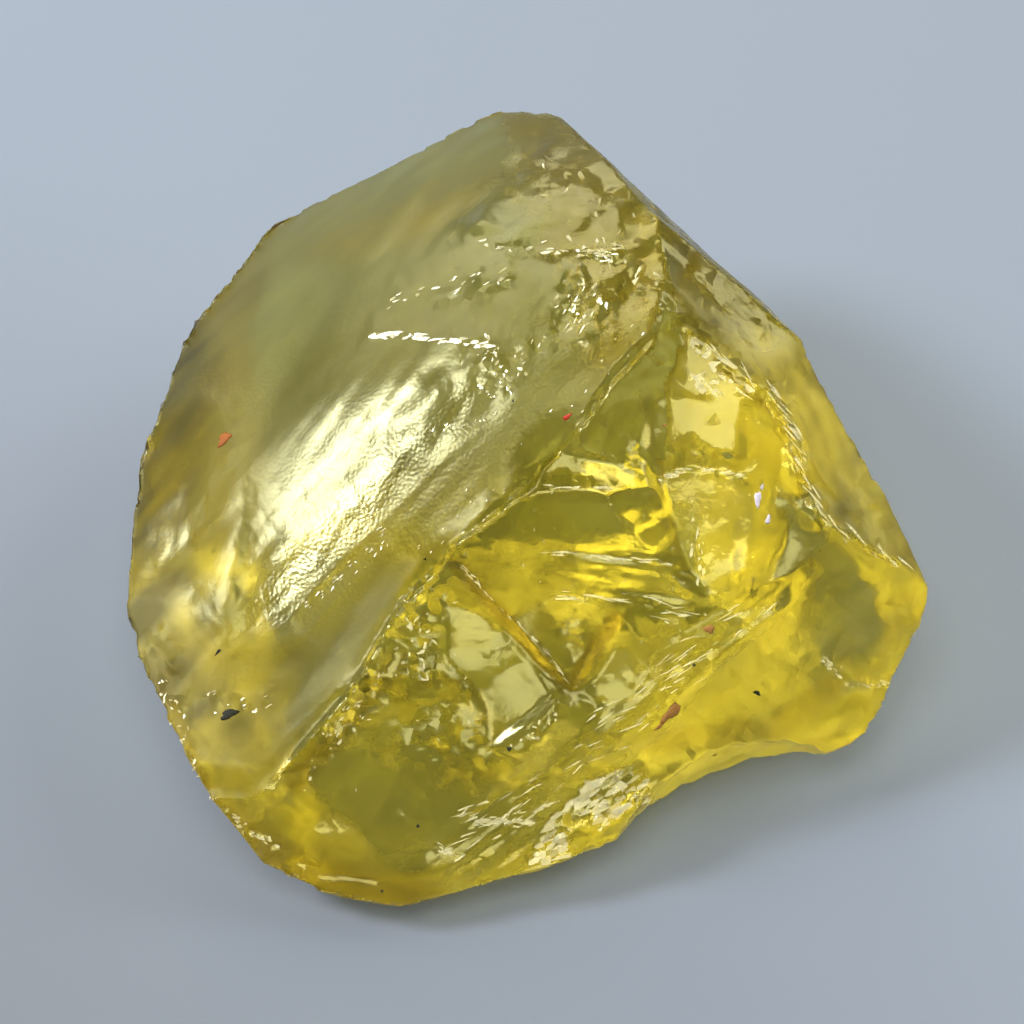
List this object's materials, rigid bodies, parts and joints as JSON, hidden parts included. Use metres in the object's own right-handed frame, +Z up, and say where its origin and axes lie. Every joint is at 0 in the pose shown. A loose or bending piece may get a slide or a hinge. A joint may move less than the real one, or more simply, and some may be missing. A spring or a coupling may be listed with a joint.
{
  "type": "rough topaz crystal",
  "caption": "Uncut fragment of clear yellow topaz with a broad satin face, a glassy window face and shell-shaped fractures, lying on a small flat face.",
  "frame": {"origin": "centre of the bounding box's bottom face, on the surface that the stone lies on", "axes": "+Z up, away from the surface; -Y towards the glassy window face; +X towards the rounded lobe"},
  "size_m": [0.0252, 0.0258, 0.0132],
  "materials": {
    "crystal": "clear yellow crystal, glassy on fresh breaks and satin on the broad face"
  },
  "bodies": {
    "root": {"topaz": "crystal"}
  },
  "joints": []
}
